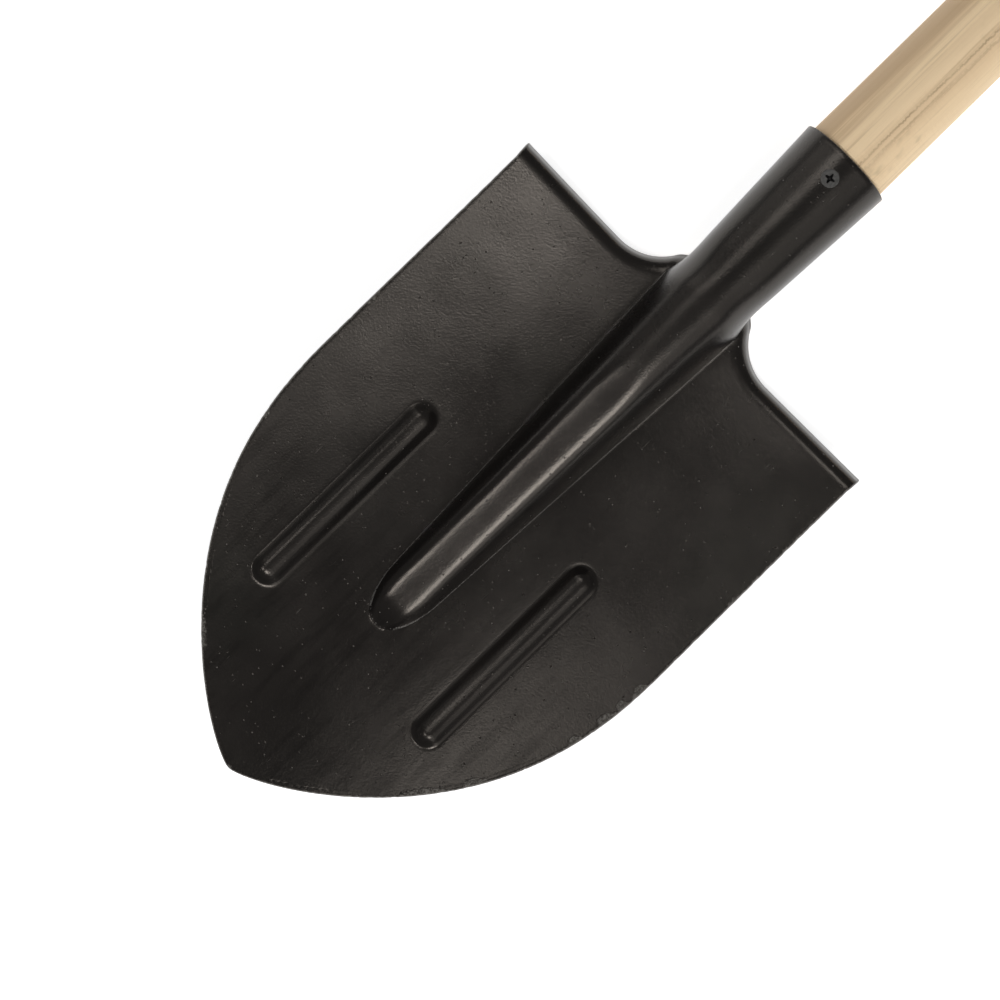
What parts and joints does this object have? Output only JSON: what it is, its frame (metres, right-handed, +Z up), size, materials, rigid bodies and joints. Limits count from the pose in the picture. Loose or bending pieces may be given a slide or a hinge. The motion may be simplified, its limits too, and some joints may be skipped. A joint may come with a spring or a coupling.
{
  "type": "garden spade",
  "caption": "Round-point garden spade: a dished pressed-steel blade with a centre ridge, side beads and turned-back treads, its rolled socket screwed to a long round wooden shaft.",
  "frame": {"origin": "centre of the bounding box's base, on the floor that the spade lies on with its hollow side up", "axes": "+X along the shaft, from the blade's tip to the shaft's domed end; +Y across the blade; +Z up, out of the blade's hollow front side"},
  "size_m": [1.4738, 0.204, 0.0448],
  "materials": {
    "blade_paint": "satin black paint over steel, fine orange peel, chipped at the cut edge",
    "shaft_wood": "bare sanded softwood, grain along the shaft",
    "screw_steel": "dull dark plated steel"
  },
  "bodies": {
    "root": {"blade": "blade_paint", "handle": "shaft_wood", "socket_screw": "screw_steel"}
  },
  "joints": []
}
